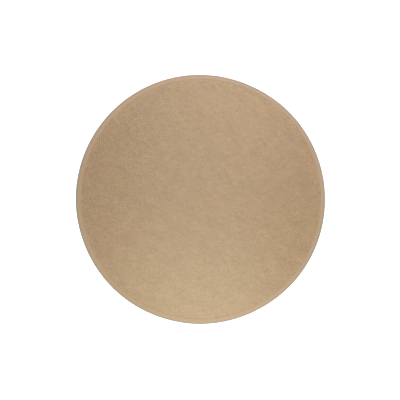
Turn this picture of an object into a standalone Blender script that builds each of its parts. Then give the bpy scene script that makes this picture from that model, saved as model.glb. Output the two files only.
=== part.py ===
"""A round rug of flat woven jute with a folded tape binding, lying flat.

Metres, +Z up. The origin is on the surface that the rug lies on, under its middle.
Heights are measured from that surface. Distances "in" are measured from the rug's
outer edge towards its middle.
"""

import math

import bmesh
import bpy
from mathutils import Vector

MM = 0.001

# The whole rug
RUG_DIAMETER = 1600 * MM
FIELD_THICKNESS = 8.0 * MM

# The binding: a straight tape folded round the edge
TAPE_THICKNESS = 1.2 * MM
TAPE_FACE_WIDTH = 32 * MM      # of each lap, on the top and again underneath, on average
LAP_SWELL = 4.4 * MM           # by which the upper lap is wider, and the lower one narrower,
LAP_SWELL_DEG = 204            # in this direction, where the tape's fold is most off its middle
BINDING_THICKNESS = 8.2 * MM   # the two laps of tape with the pressed jute between them

# Fits
GAP = 0.3 * MM                 # between the tape and the jute that it holds
SEAM_GROOVE = 1.6 * MM         # how far the weave takes to rise out of the pressed rim

# Fineness of the solids
STEPS_ROUND = 144
STEPS_IN_FOLD = 6
WELD = 0.03 * MM
SHARP_EDGE_DEG = 35

# Where the cut edge strays from a true circle: a swell is positive, a flat is negative.
# The direction is counted from +X towards +Y, and the spread is one standard deviation.
EDGE_STRAYS = (
    # (towards_deg, spread_deg, outwards_mm)
    (118, 18, 1.4),
    (64, 10, -2.2),
    (200, 9, -1.4),
    (232, 8, 0.7),
    (268, 7, 1.2),
    (299, 9, -1.2),
    (330, 14, 0.7),
)

RUG_RADIUS = RUG_DIAMETER / 2
FOLD_RADIUS = BINDING_THICKNESS / 2
RIM_BOTTOM = TAPE_THICKNESS + GAP
RIM_TOP = BINDING_THICKNESS - TAPE_THICKNESS - GAP


def stray_at(angle):
    """How far the edge lies outside the true circle in this direction, in metres."""
    out = 0.0
    for towards_deg, spread_deg, outwards_mm in EDGE_STRAYS:
        apart = (math.degrees(angle) - towards_deg + 180) % 360 - 180
        out += outwards_mm * MM * math.exp(-0.5 * (apart / spread_deg) ** 2)
    return out


def lap_swell_at(angle):
    """How much wider than its average the upper lap is in this direction, in metres."""
    return LAP_SWELL * math.cos(angle - math.radians(LAP_SWELL_DEG))


def edge_point(angle):
    """A point of the rug's outer edge, before the rug is centred."""
    reach = RUG_RADIUS + stray_at(angle)
    return Vector((reach * math.cos(angle), reach * math.sin(angle), 0))


def middle_of_edge():
    """The middle of the outline's box, which the origin is set under."""
    ring = [edge_point(2 * math.pi * i / STEPS_ROUND) for i in range(STEPS_ROUND)]
    low_x, high_x = min(p.x for p in ring), max(p.x for p in ring)
    low_y, high_y = min(p.y for p in ring), max(p.y for p in ring)
    return Vector(((low_x + high_x) / 2, (low_y + high_y) / 2, 0))


def arc(centre_in, radius, start_deg, end_deg):
    """Points of a fold's arc as (distance in, height); 0 degrees points at the edge."""
    points = []
    for i in range(STEPS_IN_FOLD + 1):
        turn = math.radians(start_deg + (end_deg - start_deg) * i / STEPS_IN_FOLD)
        across, up = radius * math.cos(turn), radius * math.sin(turn)
        points.append((centre_in - across, FOLD_RADIUS + up))
    return points


def tape_section():
    """The tape's closed section: its outer face from below to above, then its inner face."""
    lap = TAPE_FACE_WIDTH
    inner_radius = FOLD_RADIUS - TAPE_THICKNESS
    outer_face = [(lap, 0), *arc(FOLD_RADIUS, FOLD_RADIUS, -90, 90), (lap, BINDING_THICKNESS)]
    inner_face = [
        (lap, BINDING_THICKNESS - TAPE_THICKNESS),
        *arc(FOLD_RADIUS, inner_radius, 90, -90),
        (lap, TAPE_THICKNESS),
    ]
    return outer_face + inner_face


def field_section():
    """The jute's half section, from the middle of its underside to the middle of its top."""
    rim_radius = (RIM_TOP - RIM_BOTTOM) / 2
    foot_in = TAPE_FACE_WIDTH + GAP
    return [
        (RUG_RADIUS, 0),
        (foot_in, 0),
        (foot_in, RIM_BOTTOM),
        *arc(FOLD_RADIUS, rim_radius, -90, 90),
        (foot_in, RIM_TOP),
        (foot_in + SEAM_GROOVE, FIELD_THICKNESS),
        (RUG_RADIUS, FIELD_THICKNESS),
    ]


def spun(name, section, closed):
    """A section turned once round the rug's middle, then strayed as its edge and laps do."""
    shape = bmesh.new()
    rim = [shape.verts.new((RUG_RADIUS - inwards, 0, height)) for inwards, height in section]
    for first, second in zip(rim, rim[1:]):
        shape.edges.new((first, second))
    if closed:
        shape.edges.new((rim[-1], rim[0]))
    bmesh.ops.spin(
        shape,
        geom=shape.verts[:] + shape.edges[:],
        cent=(0, 0, 0),
        axis=(0, 0, 1),
        angle=2 * math.pi,
        steps=STEPS_ROUND,
        use_merge=True,
    )
    bmesh.ops.remove_doubles(shape, verts=shape.verts[:], dist=WELD)
    bmesh.ops.recalc_face_normals(shape, faces=shape.faces[:])
    middle = middle_of_edge()
    for vert in shape.verts:
        flat = Vector((vert.co.x, vert.co.y, 0))
        angle = math.atan2(flat.y, flat.x)
        outwards = stray_at(angle) * flat.length / RUG_RADIUS
        if TAPE_FACE_WIDTH / 2 < RUG_RADIUS - flat.length < 2 * TAPE_FACE_WIDTH:
            upper = 1 if vert.co.z > FOLD_RADIUS else -1
            outwards -= upper * lap_swell_at(angle)
        vert.co += flat.normalized() * outwards - middle
    mesh = bpy.data.meshes.new(name)
    shape.to_mesh(mesh)
    shape.free()
    mesh.shade_smooth()
    mesh.set_sharp_from_angle(angle=math.radians(SHARP_EDGE_DEG))
    return mesh


def material(name, colour, roughness):
    """A plain dull cloth finish."""
    made = bpy.data.materials.new(name)
    made.use_nodes = True
    shader = made.node_tree.nodes["Principled BSDF"]
    shader.inputs["Base Color"].default_value = (*colour, 1)
    shader.inputs["Roughness"].default_value = roughness
    shader.inputs["Metallic"].default_value = 0.0
    return made


def add_piece(name, section, closed, finish, collection):
    """One sub-part as an object of its own."""
    mesh = spun(name, section, closed)
    mesh.materials.append(finish)
    piece = bpy.data.objects.new(name, mesh)
    collection.objects.link(piece)
    return piece


def build_rug():
    rug = bpy.data.collections.new("round_jute_rug")
    bpy.context.scene.collection.children.link(rug)
    jute = material("natural_jute", colour=(0.42, 0.29, 0.18), roughness=0.9)
    tape = material("cotton_tape", colour=(0.47, 0.34, 0.22), roughness=0.85)
    add_piece("jute_field", field_section(), False, jute, rug)
    add_piece("edge_binding", tape_section(), True, tape, rug)


for old in list(bpy.data.objects):
    bpy.data.objects.remove(old, do_unlink=True)
build_rug()
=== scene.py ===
import math

import bmesh
import bpy
import numpy as np
from mathutils import Matrix, Vector


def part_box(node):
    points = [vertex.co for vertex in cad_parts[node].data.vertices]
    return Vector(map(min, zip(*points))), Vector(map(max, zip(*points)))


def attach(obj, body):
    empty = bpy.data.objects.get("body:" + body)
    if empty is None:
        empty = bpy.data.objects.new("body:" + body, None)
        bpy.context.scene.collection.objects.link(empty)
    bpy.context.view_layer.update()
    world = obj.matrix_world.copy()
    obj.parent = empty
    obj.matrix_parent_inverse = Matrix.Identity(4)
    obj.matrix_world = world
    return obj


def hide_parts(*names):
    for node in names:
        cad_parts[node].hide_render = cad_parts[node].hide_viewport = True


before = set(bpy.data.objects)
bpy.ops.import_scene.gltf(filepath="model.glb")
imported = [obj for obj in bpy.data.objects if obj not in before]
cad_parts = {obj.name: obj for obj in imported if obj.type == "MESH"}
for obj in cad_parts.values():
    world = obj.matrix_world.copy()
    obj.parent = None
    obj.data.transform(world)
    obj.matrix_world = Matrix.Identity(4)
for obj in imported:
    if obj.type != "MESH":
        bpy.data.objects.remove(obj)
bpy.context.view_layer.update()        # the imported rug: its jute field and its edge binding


# ---------------------------------------------------------------------------------------
# The cut edge. The rug is one round piece cut by hand from flat woven jute, so its edge
# strays a millimetre or two from a true circle. Every piece below follows that edge,
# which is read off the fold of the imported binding.

EDGE_STEPS = 144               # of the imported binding, round the rug

binding_verts = np.array([v.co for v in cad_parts["edge_binding"].data.vertices])
vert_angle = np.arctan2(binding_verts[:, 1], binding_verts[:, 0])
vert_reach = np.hypot(binding_verts[:, 0], binding_verts[:, 1])
on_top = binding_verts[:, 2] > binding_verts[:, 2].max() / 2
in_step = np.round((vert_angle + math.pi) / (2 * math.pi) * EDGE_STEPS).astype(int) % EDGE_STEPS
EDGE_ANGLE = np.arange(EDGE_STEPS) / EDGE_STEPS * 2 * math.pi - math.pi
EDGE_REACH = np.array([vert_reach[in_step == step].max() for step in range(EDGE_STEPS)])
lap_border = [vert_reach[(in_step == step) & on_top].min() for step in range(EDGE_STEPS)]
LAP_WIDTH = EDGE_REACH - np.array(lap_border)
TAPE_FACE_WIDTH = LAP_WIDTH.mean()


def edge_reach(angle):
    """How far the rug's edge is from its middle in these directions."""
    return np.interp(angle, EDGE_ANGLE, EDGE_REACH, period=2 * math.pi)


def lap_shift(angle):
    """How much wider the binding's upper lap is in these directions than on average."""
    return np.interp(angle, EDGE_ANGLE, LAP_WIDTH, period=2 * math.pi) - TAPE_FACE_WIDTH


# ---------------------------------------------------------------------------------------
# The core of the cloth. Under the yarns that float on the face lie those that cross below
# them, packed into one layer of jute. It is the cloth that rests on the floor, and its
# underside shows the same basket weave.

MM = 0.001
FIELD_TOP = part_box("jute_field")[1].z
BINDING_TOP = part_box("edge_binding")[1].z
TAPE_THICKNESS = 1.2 * MM
GAP = 0.3 * MM                 # between the tape and the jute that it holds
CORE_TOP = 4.4 * MM
CORE_STEPS = 360
CORE_RING_IN = 0.4             # a ring of points on top, about halfway in
SPIN_RADIUS = 1                # at which a section is spun, before it goes out to the edge
FOLD_STEP_DEG = 30
WELD = 0.02 * MM
SHARP_EDGE_DEG = 50
WEAVE_TURN = math.radians(-37.5)     # the weft against the photograph's horizontal
WEFT_PITCH = 10.8 * MM               # of a pair of weft yarns, across the weft
WARP_PITCH = 8.3 * MM                # of a pair of warp yarns, across the warp
ARCH_FOOT = 0.4                # the height of a float's ends on the underside, as a share
CORE_COLOURS_AND_GROOVE_SHADE = ((0.2, (0.13, 0.084, 0.048)), (0.75, (0.40, 0.295, 0.188)))


def feed(tree, socket, value):
    """Set a socket to a value, or link it to another node's output."""
    if isinstance(value, bpy.types.NodeSocket):
        tree.links.new(value, socket)
    else:
        socket.default_value = value


def set_inputs(tree, made, **sockets):
    """Feed a node's sockets, which are named with _ for a space."""
    for name, value in sockets.items():
        feed(tree, made.inputs[name.replace("_", " ")], value)
    return made


def node(tree, kind, **sockets):
    """A shader node with its sockets set."""
    return set_inputs(tree, tree.nodes.new("ShaderNode" + kind), **sockets)


def maths(tree, operation, first, second=0.0, third=0.0):
    """One sum on values or outputs."""
    made = tree.nodes.new("ShaderNodeMath")
    made.operation = operation
    for socket, value in zip(made.inputs, (first, second, third)):
        feed(tree, socket, value)
    return made.outputs[0]


def ribs(tree, distance, width):
    """Round ribs of this width side by side: 0 in their grooves and 1 on their crests."""
    turn = maths(tree, "MULTIPLY", distance, math.pi / width)
    return maths(tree, "ABSOLUTE", maths(tree, "SINE", turn))


def ramp(tree, factor, stops):
    """A colour ramp through stops of (position, colour), from the lowest up."""
    made = node(tree, "ValToRGB", Fac=factor)
    elements = made.color_ramp.elements
    for i, (position, colour) in enumerate(stops):
        stop = elements[i] if i < 2 else elements.new(position)
        stop.position, stop.color = position, (*colour, 1)
    return made.outputs[0]


def new_finish(name):
    """A new material, with its node tree and its shader."""
    material = bpy.data.materials.new(name)
    material.use_nodes = True
    return material, material.node_tree, material.node_tree.nodes["Principled BSDF"]


def arc(centre_in, centre_up, radius):
    """Half a circle round the fold, from below to above, as (distance in, height)."""
    turns = [math.radians(turn) for turn in range(-90, 91, FOLD_STEP_DEG)]
    return [(centre_in - radius * math.cos(t), centre_up + radius * math.sin(t)) for t in turns]


def spun(name, section, steps):
    """An open section of (distance in, height) turned once round the rug, out to its edge."""
    shape = bmesh.new()
    rim = [shape.verts.new((SPIN_RADIUS - inwards, 0, height)) for inwards, height in section]
    ends = [shape.edges.new(pair) for pair in zip(rim, rim[1:])]
    bmesh.ops.spin(shape, geom=rim + ends, cent=(0, 0, 0), axis=(0, 0, 1),
                   angle=2 * math.pi, steps=steps, use_merge=True)
    bmesh.ops.remove_doubles(shape, verts=shape.verts[:], dist=WELD)
    for vert in shape.verts:
        inwards = SPIN_RADIUS - math.hypot(vert.co.x, vert.co.y)
        angle = math.atan2(vert.co.y, vert.co.x)
        if TAPE_FACE_WIDTH / 2 < inwards < 2 * TAPE_FACE_WIDTH:
            inwards += float(lap_shift(angle)) * (1 if vert.co.z > CORE_TOP / 2 else -1)
        out = max(float(edge_reach(angle)) - inwards, 0.0)
        vert.co.x, vert.co.y = out * math.cos(angle), out * math.sin(angle)
    bmesh.ops.remove_doubles(shape, verts=shape.verts[:], dist=WELD)
    bmesh.ops.recalc_face_normals(shape, faces=shape.faces[:])
    mesh = bpy.data.meshes.new(name)
    shape.to_mesh(mesh)
    shape.free()
    mesh.shade_smooth()
    mesh.set_sharp_from_angle(angle=math.radians(SHARP_EDGE_DEG))
    return mesh


def rug_piece(mesh, material, slot, *stands_for):
    """A finished piece, riding on the rug's one body."""
    piece = bpy.data.objects.new(mesh.name, mesh)
    bpy.context.scene.collection.objects.link(piece)
    piece.data.materials.append(material)
    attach(piece, "root")
    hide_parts(*stands_for)
    return piece


foot_in = TAPE_FACE_WIDTH + GAP
rim_bottom = TAPE_THICKNESS + GAP
rim_radius = (CORE_TOP - rim_bottom) / 2
rim_middle_in = TAPE_THICKNESS + GAP + 2 * rim_radius
core_section = [
    (SPIN_RADIUS, 0),
    (foot_in, 0),
    (foot_in, rim_bottom),
    *arc(rim_middle_in, rim_bottom + rim_radius, rim_radius),
    (foot_in, CORE_TOP),
    (CORE_RING_IN, CORE_TOP),
    (SPIN_RADIUS, CORE_TOP),
]

# The weave's cells are one pair wide and hold two yarns each, of the weft or of the warp
core_jute, tree, shader = new_finish("jute_core")
place = node(tree, "TexCoord").outputs["Object"]
turned = node(tree, "Mapping", Vector=place, Rotation=(0, 0, -WEAVE_TURN)).outputs[0]
cells = node(tree, "Mapping", Vector=turned, Location=(0, 0, 0.5),
             Scale=(1 / WARP_PITCH, 1 / WEFT_PITCH, 1)).outputs[0]
checker = node(tree, "TexChecker", Vector=cells, Scale=1.0).outputs["Fac"]
cell = node(tree, "SeparateXYZ", Vector=cells).outputs
height_of = {}
for along, across in ("XY", "YX"):
    arch = maths(tree, "MULTIPLY_ADD", ribs(tree, cell[along], 1), 1 - ARCH_FOOT, ARCH_FOOT)
    height_of[along] = maths(tree, "MULTIPLY", ribs(tree, cell[across], 1 / 2), arch)
height = node(tree, "Mix", Factor=checker, A=height_of["Y"], B=height_of["X"]).outputs["Result"]
fibres = node(tree, "TexNoise", Vector=turned, Scale=900.0, Detail=3.0, Roughness=0.65).outputs["Fac"]
relief = maths(tree, "MULTIPLY_ADD", fibres, 0.35, height)
bump = node(tree, "Bump", Strength=0.9, Distance=1.2 * MM, Height=relief)
# Darker down between the yarns and at their ends, paler on their crests: painted shade in the weave's
# hollows, over the fibres' own paler and darker flecks
fibres_and_groove_shade = maths(tree, "MULTIPLY_ADD", fibres, 0.5, maths(tree, "MULTIPLY", height, 0.6))
set_inputs(tree, shader, Base_Color=ramp(tree, fibres_and_groove_shade, CORE_COLOURS_AND_GROOVE_SHADE), Normal=bump.outputs[0],
           Roughness=0.95, Specular_IOR_Level=0.2)

core = rug_piece(spun("jute_core", core_section, CORE_STEPS), core_jute, "jute", "jute_field")


# ---------------------------------------------------------------------------------------
# The face of the weave. Jute yarns lie in pairs, and pairs of weft and warp take turns on
# top: a basket weave, turned against the photograph's frame as the round was cut. Each
# float is one yarn's stretch over the pair that it crosses, bent down under it at its ends.

FLOAT_STEPS_ALONG = 5
FLOAT_STEPS_ACROSS = 2
FLOAT_FLATNESS = 2.6           # the power of its arch
FLOAT_CROWN = 0.34             # how much lower its sides are than its middle, as a share
FLOAT_TAPER = 0.14             # how much narrower its ends are, as a share
FLOAT_FOOT = CORE_TOP - 0.6 * MM
WARP_FLOAT_TOP = FIELD_TOP - 0.2 * MM
WEFT_FLOAT_SPAN = 1.62         # a float's length over the width of the pair that it crosses
WARP_FLOAT_SPAN = 1.48
YARN_FULLNESS = 1.03           # a yarn's width over half its pair's
PRESSED_TOP = 6.6 * MM         # of the yarns that the binding holds
PRESS_START, PRESS_END = TAPE_FACE_WIDTH - 1.4 * MM, TAPE_FACE_WIDTH + 0.6 * MM
YARN_UNDER_TAPE = 6 * MM

# How the yarns and their floats differ among themselves, as standard deviations
YARN_DRIFT = 1.1 * MM
YARN_TONE = 0.012
FLOAT_TONE = 0.008
FLOAT_SIZE = (0.022, 0.025, 0.015)      # of a float's length, width and height, as shares
FLOAT_ROLL = 0.028                      # radians
FLOAT_OFFSET = 0.12 * MM                # across the yarn

# How golden the jute is: by its yarn, by its float, and towards the rug's left and right sides, where
# the deeper gold is painted shade, the darker and warmer hue of the less lit sides
YARN_GOLD, FLOAT_GOLD, SIDE_SHADE_GOLD = 0.4, 0.3, 0.5
SIDE_SHADE_FROM, SIDE_SHADE_TO = 0.15, 0.75         # metres to either side of the middle

# Where the jute's colour differs, as the photograph shows it: x, y and spread in
# millimetres, and how much paler, redder and bluer it is in per cent
TINTED_PLACES = (
    (-300, 390, 160, 0.8, -1.4, -1.4),
    (400, 350, 110, 2, 0, 0),
    (570, -170, 190, 0, 0, -3.6),
    (-400, -410, 150, 1.8, -1.6, -2.2),
    (90, -500, 250, 2.6, -2.6, -0.4),
)
CLOUD_TONE, FLECK_TONE, STREAK_TONE = 0.018, 0.021, 0.005
TAPE_BORDER_PAINTED_LIGHT = 0.07           # painted light on the yarns beside the tape, lifting the shade of the groove at its border
TAPE_BORDER_LIGHT_REACH = 12 * MM

# The same near the edge: direction and spread in degrees, and how much paler the jute and
# the tape are in per cent
TINTED_RIM = (
    (3, 18, 5, 7),
    (70, 16, -4, -3),
    (135, 17, 4, 7),
    (238, 18, -4, -8),
    (272, 14, 1, -4),
)
OF_JUTE, OF_TAPE = 0, 1
RIM_TINT_REACH = 95 * MM


def waves(random, count, shortest, longest, across=None):
    """Waves of random phase as (x rate, y rate, phase) rows, in all directions or across one."""
    length = np.exp(random.uniform(math.log(shortest), math.log(longest), count))
    heading, phase = random.uniform(0, 2 * math.pi, (2, count))
    if across is not None:
        heading = across + math.pi / 2 + random.normal(0, 0.2, count)
    rate = 2 * math.pi / length
    return np.stack([rate * np.cos(heading), rate * np.sin(heading), phase], 1)


def wandering(points, chosen_waves):
    """The waves summed at these points: a smooth random value of unit spread."""
    total = sum(np.sin(points[:, 0] * a + points[:, 1] * b + c) for a, b, c in chosen_waves)
    return total * math.sqrt(2 / len(chosen_waves))


cloth_random = np.random.default_rng(3)
DRIFT_WAVES_X = waves(cloth_random, 14, 0.07, 0.5)
DRIFT_WAVES_Y = waves(cloth_random, 14, 0.07, 0.5)
CLOUD_WAVES = waves(cloth_random, 60, 0.03, 0.25)
FLECK_WAVES = waves(cloth_random, 80, 0.019, 0.055)
WEFT_STREAKS = waves(cloth_random, 50, 0.024, 0.09, WEAVE_TURN)


def drifted(points):
    """Points of the cloth moved as the yarns wander: never quite straight or evenly spaced."""
    moved = points.copy()
    moved[:, 0] += YARN_DRIFT * wandering(points, DRIFT_WAVES_X)
    moved[:, 1] += YARN_DRIFT * wandering(points, DRIFT_WAVES_Y)
    return moved


def eased(value, start, end):
    """0 before start, 1 after end and a smooth rise between them."""
    t = np.clip((value - start) / (end - start), 0, 1)
    return t * t * (3 - 2 * t)


def nearness(far, spread):
    """1 at no distance, fading as a bell curve does."""
    return np.exp(-0.5 * (far / spread) ** 2)


def depth_in(points):
    """How far inside the rug's edge these points lie, counted as if the lap had its mean width."""
    angle = np.arctan2(points[:, 1], points[:, 0])
    return edge_reach(angle) - lap_shift(angle) - np.hypot(points[:, 0], points[:, 1])


def rim_tone(points, material):
    """How much paler the rim of the jute or of the tape is in the directions of these points."""
    direction = np.degrees(np.arctan2(points[:, 1], points[:, 0]))
    tone = 0.0
    for towards, spread, *paler in TINTED_RIM:
        apart = (direction - towards + 180) % 360 - 180
        tone = tone + paler[material] / 100 * nearness(apart, spread)
    return tone


def tint_of_place(points):
    """The jute's colour at these points as a red, green and blue share of its average one."""
    inwards = depth_in(points) - TAPE_FACE_WIDTH
    tone = CLOUD_TONE * wandering(points, CLOUD_WAVES)
    tone += FLECK_TONE * wandering(points, FLECK_WAVES) + STREAK_TONE * wandering(points, WEFT_STREAKS)
    # Paler near the tape: painted light that lifts the shade of the groove at the tape's border
    tone += TAPE_BORDER_PAINTED_LIGHT * (1 - eased(inwards, 0, TAPE_BORDER_LIGHT_REACH))
    tone += rim_tone(points, OF_JUTE) * (1 - eased(inwards, 0, RIM_TINT_REACH))
    hue = np.ones((len(points), 3))
    for x, y, spread, paler, redder, bluer in TINTED_PLACES:
        near = nearness(np.hypot(points[:, 0] - x * MM, points[:, 1] - y * MM), spread * MM)
        tone += paler / 100 * near
        hue[:, 0] += redder / 100 * near
        hue[:, 2] += bluer / 100 * near
    return hue * (1 + tone[:, None])


def float_shape(length, width, top):
    """One yarn's float along X: its points, and its faces as four corners each."""
    shape = bmesh.new()
    bmesh.ops.create_grid(shape, x_segments=FLOAT_STEPS_ALONG, y_segments=FLOAT_STEPS_ACROSS, size=1)
    for vert in shape.verts:
        along, across = vert.co.x, vert.co.y
        arch = 1 - abs(along) ** FLOAT_FLATNESS
        crown = 1 - FLOAT_CROWN * across * across
        vert.co.x = along * length / 2
        vert.co.y = across * width / 2 * (1 - FLOAT_TAPER * along * along)
        vert.co.z = (FLOAT_FOOT + (top - FLOAT_FOOT) * arch) * crown
    points = np.array([v.co for v in shape.verts])
    faces = np.array([[v.index for v in f.verts] for f in shape.faces])
    shape.free()
    return points, faces


def float_places(ahead, left, pair_pitch, cross_pitch, takes):
    """Each float's yarn, how far along and across the family it lies, and its middle.

    The floats come yarn by yarn. takes says which cells of the weave are this family's.
    """
    spread = int(EDGE_REACH.max() / min(pair_pitch, cross_pitch)) + 2
    step, pair = np.meshgrid(np.arange(-spread, spread + 1), np.arange(-spread, spread + 1))
    own = (step + pair) % 2 == takes
    step, pair = np.tile(step[own], 2), pair[own]
    yarn = np.concatenate([2 * pair, 2 * pair + 1])
    along = step * cross_pitch
    across = (yarn // 2) * pair_pitch + (yarn % 2 - 0.5) * pair_pitch / 2
    middle = along[:, None] * ahead + across[:, None] * left
    kept = np.flatnonzero(depth_in(middle) > TAPE_FACE_WIDTH - YARN_UNDER_TAPE)
    kept = kept[np.lexsort((step[kept], yarn[kept]))]
    return yarn[kept], along[kept], across[kept], middle[kept]


def float_mesh(name, points, faces, yarn_map, baked_map, gold, tint):
    """One mesh of floats, with two maps, and with its gold and tint for each face."""
    mesh = bpy.data.meshes.new(name)
    mesh.from_pydata(points.tolist(), [], faces.tolist())
    mesh.shade_smooth()
    for map_name, at in (("yarn", yarn_map), ("OFBake", baked_map)):
        corners = at[faces.ravel()].astype(np.float32).ravel()
        mesh.uv_layers.new(name=map_name).uv.foreach_set("vector", corners)
    mesh.uv_layers.active = mesh.uv_layers["yarn"]
    golds = mesh.attributes.new("gold", "FLOAT", "FACE")
    golds.data.foreach_set("value", gold.astype(np.float32))
    tints = mesh.attributes.new("tint", "FLOAT_VECTOR", "FACE")
    tints.data.foreach_set("vector", tint.astype(np.float32).ravel())
    return mesh


PIECES_A_FAMILY = 5
MAP_GAP = 2 * MM               # between the two halves of a piece, laid side by side to be baked
MAP_MARGIN = 0.004             # left free round the baked map
YARN_PATTERNS = 97             # places in the yarn's pattern that the yarns take in turn
PATTERN_STEP = 0.05            # metres from one such place to the next


def yarn_family(name, turn, pair_pitch, cross_pitch, takes, shape, material, seed):
    """Every float of the yarns that run at this turn, joined into a few pieces.

    Its pairs lie pair_pitch apart, and each float lies over one pair of the other family.
    """
    random = np.random.default_rng(seed)
    ahead = np.array([math.cos(turn), math.sin(turn)])
    left = np.array([-ahead[1], ahead[0]])
    yarn, along, across, middle = float_places(ahead, left, pair_pitch, cross_pitch, takes)

    yarn_count = yarn.max() - yarn.min() + 1
    yarn_tone = random.normal(0, 1, yarn_count)[yarn - yarn.min()]
    yarn_gold = random.uniform(0, 1, yarn_count)[yarn - yarn.min()]
    yarn_shift = random.uniform(0, 1, yarn_count)[yarn - yarn.min()]
    tone = YARN_TONE * yarn_tone + random.normal(0, FLOAT_TONE, len(yarn))
    tint = tint_of_place(middle) * (1 + tone[:, None])
    # Deeper gold towards the left and right sides: painted shade, darker and warmer where less light
    # falls
    side_shade_share = eased(np.abs(middle[:, 0]), SIDE_SHADE_FROM, SIDE_SHADE_TO)
    gold = YARN_GOLD * yarn_gold + random.uniform(0, FLOAT_GOLD, len(yarn)) + SIDE_SHADE_GOLD * side_shade_share

    points, faces = shape
    size = 1 + random.normal(0, 1, (len(yarn), 3)) * FLOAT_SIZE
    roll = random.normal(0, FLOAT_ROLL, len(yarn))
    local = points[None] * size[:, None]
    local[:, :, 2] += roll[:, None] * points[None, :, 1]
    u = along[:, None] + local[:, :, 0]
    v = across[:, None] + local[:, :, 1] + random.normal(0, FLOAT_OFFSET, len(yarn))[:, None]
    plan = u[:, :, None] * ahead + v[:, :, None] * left
    placed = np.concatenate([plan, local[:, :, 2:]], 2)

    made = []
    for share in np.array_split(np.arange(len(yarn)), PIECES_A_FAMILY):
        at = drifted(placed[share].reshape(-1, 3))
        top = PRESSED_TOP + (FIELD_TOP - PRESSED_TOP) * eased(depth_in(at), PRESS_START, PRESS_END)
        at[:, 2] *= top / FIELD_TOP
        quads = (faces[None] + len(points) * np.arange(len(share))[:, None, None]).reshape(-1, 4)
        along_yarn = u[share] + yarn_shift[share][:, None]
        side = local[share][:, :, 1] + PATTERN_STEP * (yarn[share] % YARN_PATTERNS)[:, None]
        laid = np.stack([u[share], v[share]], 2)
        laid[along[share] > 0] += (-EDGE_REACH.max(), np.ptp(laid[:, :, 1]) + MAP_GAP)
        laid = laid.reshape(-1, 2)
        laid = MAP_MARGIN + (1 - 2 * MAP_MARGIN) * (laid - laid.min(0)) / np.ptp(laid, axis=0)
        mesh = float_mesh(f"{name}_{len(made) + 1}", at, quads,
                          np.stack([along_yarn.ravel(), side.ravel()], 1), laid,
                          np.repeat(gold[share], len(faces)), np.repeat(tint[share], len(faces), axis=0))
        made.append(rug_piece(mesh, material, "jute", "jute_field"))
    return made


FIBRE_SLANT = math.radians(24)          # of the twisted fibres against their yarn
PLY_SLANT = math.radians(-52)
PLY_PITCH = 2.3 * MM
SPECK_LEVEL, SPECK_EDGE = 0.64, 7.0     # above which noise is a speck, and how sharply
SPECK_DARKNESS = 0.45


def own_map(tree, name):
    """The piece's UV map of this name."""
    made = node(tree, "UVMap")
    made.uv_map = name
    return made.outputs[0]


def own_value(tree, name, output):
    """A value or colour that the piece's mesh carries under this name."""
    made = node(tree, "Attribute")
    made.attribute_name = name
    return made.outputs[output]


def streaks(tree, place, along, across, **noise):
    """Noise drawn out into streaks, with this many a metre along and across them."""
    stretched = node(tree, "Mapping", Vector=place, Scale=(along, across, 1)).outputs[0]
    return node(tree, "TexNoise", Vector=stretched, Scale=1.0, **noise).outputs["Fac"]


def scaled(tree, colour, level):
    """A colour made paler or darker."""
    made = tree.nodes.new("ShaderNodeVectorMath")
    made.operation = "SCALE"
    feed(tree, made.inputs[0], colour)
    feed(tree, made.inputs["Scale"], level)
    return made.outputs[0]


def jute_yarn(name, straw, golden):
    """Twisted jute: pale and golden fibres, dark specks of bark, and the slant of the plies, with
    painted shade in the grooves between the plies.
    """
    material, tree, shader = new_finish(name)
    lay = own_map(tree, "yarn")
    twist = node(tree, "Mapping", Vector=lay, Rotation=(0, 0, FIBRE_SLANT)).outputs[0]
    strands = streaks(tree, twist, 90, 1500, Detail=3.0, Roughness=0.6)
    hairs = streaks(tree, twist, 260, 5200, Detail=1.0)
    fibres = maths(tree, "MULTIPLY_ADD", hairs, 0.4, maths(tree, "MULTIPLY", strands, 0.6))
    ply_place = node(tree, "Mapping", Vector=lay, Rotation=(0, 0, PLY_SLANT)).outputs[0]
    ply = ribs(tree, node(tree, "SeparateXYZ", Vector=ply_place).outputs["X"], PLY_PITCH)
    speck = streaks(tree, twist, 260, 900, Detail=1.0)
    dark = maths(tree, "MULTIPLY", maths(tree, "SUBTRACT", speck, SPECK_LEVEL), SPECK_EDGE)
    dark = node(tree, "Clamp", Value=dark).outputs[0]

    yarn_colour = tree.nodes.new("ShaderNodeMix")
    yarn_colour.data_type = "RGBA"
    set_inputs(tree, yarn_colour, Factor=own_value(tree, "gold", "Fac"), A=(*straw, 1), B=(*golden, 1))
    tinted = tree.nodes.new("ShaderNodeVectorMath")
    tinted.operation = "MULTIPLY"
    feed(tree, tinted.inputs[0], yarn_colour.outputs["Result"])
    feed(tree, tinted.inputs[1], own_value(tree, "tint", "Vector"))
    # Darker in the grooves between the plies and paler on their crests: painted shade, with the fibres'
    # own paler and darker streaks
    level = maths(tree, "MULTIPLY_ADD", ply, 0.16, maths(tree, "MULTIPLY_ADD", fibres, 1.3, 0.25))
    level = maths(tree, "MULTIPLY", level, maths(tree, "MULTIPLY_ADD", dark, -SPECK_DARKNESS, 1.0))

    relief = maths(tree, "MULTIPLY_ADD", fibres, 1.1, ply)
    bump = node(tree, "Bump", Strength=0.8, Distance=0.4 * MM, Height=relief)
    set_inputs(tree, shader, Base_Color=scaled(tree, tinted.outputs[0], level), Normal=bump.outputs[0],
               Roughness=maths(tree, "MULTIPLY_ADD", fibres, -0.2, 0.96), Specular_IOR_Level=0.3,
               Sheen_Weight=0.08, Sheen_Roughness=0.5)
    return material


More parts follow.
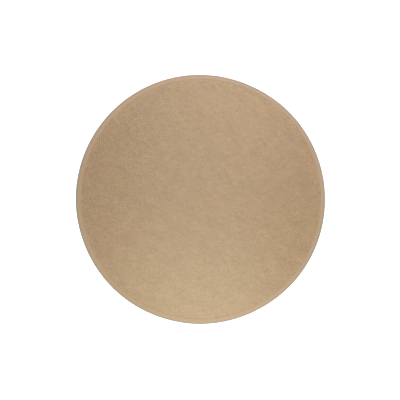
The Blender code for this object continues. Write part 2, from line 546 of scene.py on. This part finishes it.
weft_jute = jute_yarn("weft_jute", straw=(0.379, 0.283, 0.186), golden=(0.368, 0.256, 0.156))
warp_jute = jute_yarn("warp_jute", straw=(0.393, 0.294, 0.194), golden=(0.382, 0.266, 0.163))
weft_float = float_shape(WARP_PITCH * WEFT_FLOAT_SPAN, WEFT_PITCH / 2 * YARN_FULLNESS, FIELD_TOP)
warp_float = float_shape(WEFT_PITCH * WARP_FLOAT_SPAN, WARP_PITCH / 2 * YARN_FULLNESS, WARP_FLOAT_TOP)
weft = yarn_family("weft_yarns", WEAVE_TURN, WEFT_PITCH, WARP_PITCH, takes=0,
                   shape=weft_float, material=weft_jute, seed=11)
warp = yarn_family("warp_yarns", WEAVE_TURN + math.pi / 2, WARP_PITCH, WEFT_PITCH, takes=1,
                   shape=warp_float, material=warp_jute, seed=12)


# ---------------------------------------------------------------------------------------
# Loose fibres. Spun jute is hairy: here and there a fibre leaves its yarn, bows over the
# face of the weave and goes in again.

FIBRE_COUNT = 640
FIBRE_WIDTH = 0.14 * MM
FIBRE_LENGTH = (8 * MM, 18 * MM)        # the shortest and the longest
FIBRE_LIFT = (1.6 * MM, 2.4 * MM)       # the lowest and the highest, of its middle over its ends
FIBRE_ROOT = FIELD_TOP - 1.4 * MM
FIBRE_BOW = 2.2 * MM
FIBRE_STRAY = 0.7                       # radians from the way of a yarn
FIBRE_TAPER = 0.6                       # how much thinner its ends are, as a share
FIBRE_FREE_RIM = 48 * MM
TUBE_SIDES, TUBE_STEPS = 3, 4

# A tube along X, two units long and two across
fibre_random = np.random.default_rng(21)
fibre_shape = bmesh.new()
bmesh.ops.create_cone(fibre_shape, cap_ends=True, segments=TUBE_SIDES, radius1=1, radius2=1, depth=2)
long_edges = [e for e in fibre_shape.edges if e.verts[0].co.z * e.verts[1].co.z < 0]
bmesh.ops.subdivide_edges(fibre_shape, edges=long_edges, cuts=TUBE_STEPS - 1)
bmesh.ops.rotate(fibre_shape, verts=fibre_shape.verts[:],
                 matrix=Matrix.Rotation(math.pi / 2, 3, "Y"), cent=(0, 0, 0))
bmesh.ops.recalc_face_normals(fibre_shape, faces=fibre_shape.faces[:])
fibre_verts = np.array([v.co for v in fibre_shape.verts])
fibre_faces = [[v.index for v in f.verts] for f in fibre_shape.faces]
fibre_shape.free()

out = EDGE_REACH.min() - FIBRE_FREE_RIM
spot = fibre_random.uniform(-out, out, (FIBRE_COUNT * 2, 2))
spot = spot[np.hypot(spot[:, 0], spot[:, 1]) < out][:FIBRE_COUNT]
length = fibre_random.uniform(*FIBRE_LENGTH, (len(spot), 1))
bow = fibre_random.normal(0, FIBRE_BOW, (len(spot), 1))
lift = fibre_random.uniform(*FIBRE_LIFT, (len(spot), 1))
heading = WEAVE_TURN + fibre_random.normal(0, FIBRE_STRAY, (len(spot), 1))
heading += math.pi / 2 * fibre_random.integers(0, 2, (len(spot), 1))
along, side, up = fibre_verts.T[:, None]
thickness = FIBRE_WIDTH / 2 * (1 - FIBRE_TAPER * along ** 2)
x = along * length / 2
y = bow * (1 - along ** 2) + bow / 2 * np.sin(2.5 * along) + thickness * side
z = FIBRE_ROOT + lift * (1 - along ** 2) + thickness * up
fibre_points = np.stack([spot[:, :1] + x * np.cos(heading) - y * np.sin(heading),
                         spot[:, 1:] + x * np.sin(heading) + y * np.cos(heading), z], 2)
firsts = range(0, len(spot) * len(fibre_verts), len(fibre_verts))
joined_faces = [[first + corner for corner in face] for first in firsts for face in fibre_faces]
fibre_mesh = bpy.data.meshes.new("loose_fibres")
fibre_mesh.from_pydata(fibre_points.reshape(-1, 3).tolist(), [], joined_faces)
fibre_mesh.shade_smooth()

hairy, tree, shader = new_finish("jute_fibre")
set_inputs(tree, shader, Base_Color=(0.47, 0.36, 0.23, 1), Roughness=0.6)
loose_fibres = rug_piece(fibre_mesh, hairy, "jute", "jute_field")


# ---------------------------------------------------------------------------------------
# The binding. One straight cotton tape, the colour of pale jute, is folded round the cut
# edge, a little off its middle, and one seam catches both of its laps at an even distance
# from the edge. Eased round a circle, the tape puckers a little.

TAPE_STEPS = 1080
TAPE_ROWS = 8                  # into which its baked map is cut
TAPE_ROW_MARGIN = 0.03
TAPE_MAP_RADIUS = 0.8          # metres of the tape's map for a radian round the rug
STITCH_IN = LAP_WIDTH.min() - 3.4 * MM
DIMPLE = 1.6 * MM              # how far round the seam the stitches draw the tape in
SEAM_END = STITCH_IN + DIMPLE
PUCKER_START = 8 * MM
PUCKER_HEIGHT = 0.16 * MM
SEWN_FLAT = 0.6                # how much lower the puckers are at the seam, as a share
BORDER_STRAY = 0.35 * MM       # of the upper lap's border from an even line
THREAD_PITCH, RIB_PITCH = 0.9 * MM, 1.3 * MM
TAPE_COLOURS_AND_FOLD_SHADE = (
    # by the distance from the fold, as a share of the lap; darker and greyer towards the fold, which is
    # painted shade where the tape turns down away from the light
    (0.12, (0.268, 0.218, 0.170)),
    (0.30, (0.309, 0.244, 0.178)),
    (0.42, (0.336, 0.256, 0.177)),
    (0.62, (0.348, 0.255, 0.169)),
    (0.80, (0.347, 0.247, 0.157)),
    (0.95, (0.362, 0.252, 0.156)),
)

# The middle of the tape's thickness, from its lower border round the fold to its upper one
# (how far in, height)
half = TAPE_THICKNESS / 2
tape_top = BINDING_TOP - half
fold_radius = BINDING_TOP / 2
tape_line = [
    (TAPE_FACE_WIDTH, half),
    (STITCH_IN, half + 0.2 * MM),
    (16 * MM, half),
    *arc(fold_radius, fold_radius, fold_radius - half),
    (8 * MM, tape_top + 0.05 * MM),
    (13 * MM, tape_top + 0.10 * MM),
    (18 * MM, tape_top + 0.05 * MM),
    (STITCH_IN - 3 * MM, tape_top - 0.04 * MM),
    (STITCH_IN - 1.2 * MM, tape_top - 0.16 * MM),
    (STITCH_IN, tape_top - 0.22 * MM),
    (SEAM_END, tape_top - 0.13 * MM),
    (TAPE_FACE_WIDTH, tape_top - 0.12 * MM),
]

tape_random = np.random.default_rng(5)


def ripples(count, fewest, most):
    """Random waves as (how many go round the rug, phase)."""
    rounds = tape_random.integers(fewest, most, count)
    return [(int(n), tape_random.uniform(0, 2 * math.pi)) for n in rounds]


def rippled(chosen, angle):
    """A wandering height round the rug, about 1 at its most usual crests."""
    total = sum(np.sin(n * angle + phase) for n, phase in chosen)
    return total / math.sqrt(len(chosen) / 2)


pucker_waves = ripples(24, 150, 340)
border_waves = ripples(12, 9, 90)

# Each point keeps how far across the tape it lies, as cut and as laid on the rug
tape_shape = bmesh.new()
travel = tape_shape.verts.layers.float.new("across_tape")
reached = tape_shape.verts.layers.float.new("across_rug")
line_verts, travelled = [], 0.0
for i, (inwards, height) in enumerate(tape_line):
    if i:
        travelled += math.dist(tape_line[i - 1], tape_line[i])
    vert = tape_shape.verts.new((SPIN_RADIUS - inwards, 0, height))
    vert[travel] = travelled
    line_verts.append(vert)
TAPE_CUT_WIDTH = travelled
line_edges = [tape_shape.edges.new(pair) for pair in zip(line_verts, line_verts[1:])]
bmesh.ops.spin(tape_shape, geom=line_verts + line_edges, cent=(0, 0, 0), axis=(0, 0, 1),
               angle=2 * math.pi, steps=TAPE_STEPS, use_merge=True)
bmesh.ops.recalc_face_normals(tape_shape, faces=tape_shape.faces[:])
for edge in tape_shape.edges:
    edge.smooth = not edge.is_boundary
for vert in tape_shape.verts:
    inwards = SPIN_RADIUS - math.hypot(vert.co.x, vert.co.y)
    angle = math.atan2(vert.co.y, vert.co.x)
    past_seam = min(max((inwards - SEAM_END) / (TAPE_FACE_WIDTH - SEAM_END), 0), 1)
    slide = float(lap_shift(angle)) * past_seam
    if vert.co.z > fold_radius:
        slack = float(eased(inwards, PUCKER_START, SEAM_END))
        slack *= 1 - SEWN_FLAT * math.exp(-((inwards - STITCH_IN) / DIMPLE) ** 2)
        vert.co.z += PUCKER_HEIGHT * slack * rippled(pucker_waves, angle)
        slide += BORDER_STRAY * past_seam * rippled(border_waves, angle)
        inwards += slide
    else:
        inwards -= slide
    vert[reached] = vert[travel] + slide
    out = float(edge_reach(angle)) - inwards
    vert.co.x, vert.co.y = out * math.cos(angle), out * math.sin(angle)

# Two maps: the tape's own, in metres along and across it, and the one that it is baked on,
# where the ring is cut into rows
tape_uv = tape_shape.loops.layers.uv.new("tape")
baked_uv = tape_shape.loops.layers.uv.new("OFBake")
ROW_ANGLE = 2 * math.pi / TAPE_ROWS
for face in tape_shape.faces:
    middle = face.calc_center_median()
    facing = math.atan2(middle.y, middle.x) % (2 * math.pi)
    row = int(facing / ROW_ANGLE)
    for loop in face.loops:
        co = loop.vert.co
        angle = math.atan2(co.y, co.x) % (2 * math.pi)
        angle += 2 * math.pi * round((facing - angle) / (2 * math.pi))
        along = (angle - row * ROW_ANGLE) / ROW_ANGLE
        across = loop.vert[travel] / TAPE_CUT_WIDTH
        loop[tape_uv].uv = (angle * TAPE_MAP_RADIUS, loop.vert[reached])
        loop[baked_uv].uv = (
            MAP_MARGIN + (1 - 2 * MAP_MARGIN) * along,
            (row + TAPE_ROW_MARGIN + (1 - 2 * TAPE_ROW_MARGIN) * across) / TAPE_ROWS,
        )
tape_mesh = bpy.data.meshes.new("binding_tape")
tape_shape.to_mesh(tape_mesh)
tape_shape.free()
tape_mesh.shade_smooth()
tape_tone = rim_tone(np.array([v.co for v in tape_mesh.vertices]), OF_TAPE)
tones = tape_mesh.attributes.new("tone", "FLOAT", "POINT")
tones.data.foreach_set("value", tape_tone.astype(np.float32))

cotton, tree, shader = new_finish("binding_cotton")
lay = own_map(tree, "tape")
split = node(tree, "SeparateXYZ", Vector=lay)
FOLD_MIDDLE = TAPE_FACE_WIDTH - fold_radius + (fold_radius - half) * math.pi / 2
threads = maths(tree, "MULTIPLY", split.outputs["Y"], 2 * math.pi / THREAD_PITCH)
picks = maths(tree, "MULTIPLY", split.outputs["X"], 2 * math.pi / RIB_PITCH)
canvas = maths(tree, "MULTIPLY", maths(tree, "SINE", threads), maths(tree, "SINE", picks))
long_slubs = streaks(tree, lay, 40, 1000, Detail=2.0)
cross_slubs = streaks(tree, lay, 700, 60, Detail=2.0)
slubs = maths(tree, "MULTIPLY_ADD", long_slubs, 0.6, maths(tree, "MULTIPLY", cross_slubs, 0.4))
cloudy = node(tree, "TexNoise", Vector=lay, Scale=22.0, Detail=3.0).outputs["Fac"]
level = maths(tree, "MULTIPLY_ADD", slubs, 0.36, 0.77)
level = maths(tree, "MULTIPLY_ADD", cloudy, 0.10, level)
level = maths(tree, "MULTIPLY_ADD", canvas, 0.05, level)
level = maths(tree, "MULTIPLY", level, maths(tree, "ADD", own_value(tree, "tone", "Fac"), 1.0))
from_fold = maths(tree, "ABSOLUTE", maths(tree, "SUBTRACT", split.outputs["Y"], FOLD_MIDDLE))
# Darker and greyer towards the fold: painted shade where the tape turns down, away from the light
tape_colour_and_fold_shade = ramp(tree, maths(tree, "DIVIDE", from_fold, FOLD_MIDDLE), TAPE_COLOURS_AND_FOLD_SHADE)
relief = maths(tree, "MULTIPLY_ADD", slubs, 0.5, canvas)
bump = node(tree, "Bump", Strength=0.5, Distance=0.15 * MM, Height=relief)
set_inputs(tree, shader, Base_Color=scaled(tree, tape_colour_and_fold_shade, level), Normal=bump.outputs[0],
           Roughness=0.88, Specular_IOR_Level=0.25, Sheen_Weight=0.12)

binding = rug_piece(tape_mesh, cotton, "binding_tape", "edge_binding")
thick = binding.modifiers.new("tape_thickness", "SOLIDIFY")
thick.thickness = TAPE_THICKNESS
thick.offset = 0


# ---------------------------------------------------------------------------------------
# The sewing. One line of lockstitch holds both laps of the tape to the jute: beige thread,
# which shows above and below, each stitch drawn into the tape at its ends.

STITCH_PITCH = 6.5 * MM
STITCH_LENGTH = 5.0 * MM
STITCH_DIP = 0.35 * MM         # of its ends
THREAD_WIDTH = 0.9 * MM
THREAD_ABOVE, THREAD_BELOW = BINDING_TOP - 0.12 * MM, 0.45 * MM      # heights of its middle
STITCH_PUCKER = 0.06 * MM      # how far the upper thread goes up and down with the tape
STITCH_STRAY = 0.04            # along the seam, as a share of the pitch
SEAM_STRAY = 0.12 * MM         # to either side of the seam
LEAN_STRAY = 0.03              # radians from the way of the seam
THREAD_COLOURS = ((0, (0.40, 0.29, 0.185)), (1, (0.54, 0.41, 0.28)))

stitch_shape = bmesh.new()
bmesh.ops.create_uvsphere(stitch_shape, u_segments=6, v_segments=4, radius=1)
bmesh.ops.rotate(stitch_shape, verts=stitch_shape.verts[:],
                 matrix=Matrix.Rotation(math.pi / 2, 3, "Y"), cent=(0, 0, 0))
for vert in stitch_shape.verts:
    along = vert.co.x
    vert.co.x = along * STITCH_LENGTH / 2
    vert.co.y *= THREAD_WIDTH / 2
    vert.co.z = vert.co.z * THREAD_WIDTH / 2 - STITCH_DIP * along * along
stitch_points = np.array([v.co for v in stitch_shape.verts])
stitch_faces = [[v.index for v in f.verts] for f in stitch_shape.faces]
stitch_shape.free()

stitch_count = round(2 * math.pi * (EDGE_REACH.mean() - STITCH_IN) / STITCH_PITCH)
thread_points, thread_faces = [], []
for side, height in ((1, THREAD_ABOVE), (-1, THREAD_BELOW)):
    for i in range(stitch_count):
        angle = 2 * math.pi * (i + tape_random.normal(0, STITCH_STRAY)) / stitch_count
        out = float(edge_reach(angle)) - STITCH_IN + tape_random.normal(0, SEAM_STRAY)
        lean = angle + math.pi / 2 + tape_random.normal(0, LEAN_STRAY)
        cos_lean, sin_lean = math.cos(lean), math.sin(lean)
        puckered = STITCH_PUCKER * float(rippled(pucker_waves, angle)) if side > 0 else 0.0
        first = len(thread_points)
        for x, y, z in stitch_points:
            thread_points.append((out * math.cos(angle) + x * cos_lean - y * sin_lean,
                                  out * math.sin(angle) + x * sin_lean + y * cos_lean,
                                  height + puckered + side * z))
        thread_faces += [[first + corner for corner in face[::side]] for face in stitch_faces]
thread_mesh = bpy.data.meshes.new("binding_stitches")
thread_mesh.from_pydata(thread_points, [], thread_faces)
thread_mesh.shade_smooth()

thread, tree, shader = new_finish("beige_thread")
place = node(tree, "TexCoord").outputs["Object"]
strands = node(tree, "TexNoise", Vector=place, Scale=1500.0, Detail=1.0).outputs["Fac"]
set_inputs(tree, shader, Base_Color=ramp(tree, strands, THREAD_COLOURS), Roughness=0.7)
stitches = rug_piece(thread_mesh, thread, "binding_tape", "edge_binding")


# ---------------------------------------------------------------------------------------
# The floor, the light and the camera. A plain white floor, soft light from large panels
# above, and a camera straight over the rug with a long lens.

PHOTO_SIDE = 400                       # pixels
RUG_MIDDLE_IN_PHOTO = (200.42, 199.44)
RUG_RADIUS_IN_PHOTO = 124.68
LENS, SENSOR = 85, 36
FLOOR_REACH = 15
FLOOR_DROP = 0.2 * MM                  # so that it never lies in the plane of the underside

floor_mesh = bpy.data.meshes.new("floor")
floor_shape = bmesh.new()
bmesh.ops.create_grid(floor_shape, x_segments=1, y_segments=1, size=FLOOR_REACH)
bmesh.ops.translate(floor_shape, verts=floor_shape.verts[:], vec=(0, 0, -FLOOR_DROP))
floor_shape.to_mesh(floor_mesh)
floor_shape.free()
floor = bpy.data.objects.new("floor", floor_mesh)
bpy.context.scene.collection.objects.link(floor)
white, tree, shader = new_finish("white_floor")
set_inputs(tree, shader, Base_Color=(0.9, 0.9, 0.9, 1), Roughness=0.9, Specular_IOR_Level=0.0,
           Emission_Color=(1, 1, 1, 1), Emission_Strength=0.6)
floor_mesh.materials.append(white)


def panel(name, middle, size, watts, colour):
    """A soft light: a square panel that faces the rug, unseen by the camera."""
    light = bpy.data.lights.new(name, "AREA")
    light.shape = "SQUARE"
    light.size = size
    light.energy = watts
    light.color = colour
    lamp = bpy.data.objects.new(name, light)
    lamp.location = middle
    lamp.rotation_euler = (-Vector(middle)).to_track_quat("-Z", "Y").to_euler()
    lamp.visible_camera = False
    bpy.context.scene.collection.objects.link(lamp)


panel("front_panel", middle=(0.0, -1.42, 1.36), size=0.9, watts=29.5, colour=(0.975, 1.0, 0.945))
panel("back_panel", middle=(0.36, 1.44, 1.28), size=0.9, watts=21.9, colour=(0.99, 0.96, 1.0))

# The room lights the rug softly, and the camera sees a plain white wall in its place
world = bpy.data.worlds.new("studio")
world.use_nodes = True
tree = world.node_tree
room_light = set_inputs(tree, tree.nodes["Background"], Color=(1.0, 0.95, 0.90, 1), Strength=0.63)
white_wall = node(tree, "Background", Color=(1, 1, 1, 1), Strength=1.2)
seen = node(tree, "MixShader", Fac=node(tree, "LightPath").outputs["Is Camera Ray"])
feed(tree, seen.inputs[1], room_light.outputs[0])
feed(tree, seen.inputs[2], white_wall.outputs[0])
feed(tree, tree.nodes["World Output"].inputs["Surface"], seen.outputs[0])
bpy.context.scene.world = world

pixel = EDGE_REACH.mean() / RUG_RADIUS_IN_PHOTO
view_height = PHOTO_SIDE * pixel * LENS / SENSOR
lens = bpy.data.cameras.new("overhead")
lens.lens, lens.sensor_width = LENS, SENSOR
lens.clip_end = 100
camera = bpy.data.objects.new("overhead", lens)
camera.location = ((PHOTO_SIDE / 2 - RUG_MIDDLE_IN_PHOTO[0]) * pixel,
                   (RUG_MIDDLE_IN_PHOTO[1] - PHOTO_SIDE / 2) * pixel,
                   view_height + FIELD_TOP / 2)
bpy.context.scene.collection.objects.link(camera)
bpy.context.scene.camera = camera
bpy.context.scene.view_settings.view_transform = "Standard"
bpy.context.scene.view_settings.look = "None"
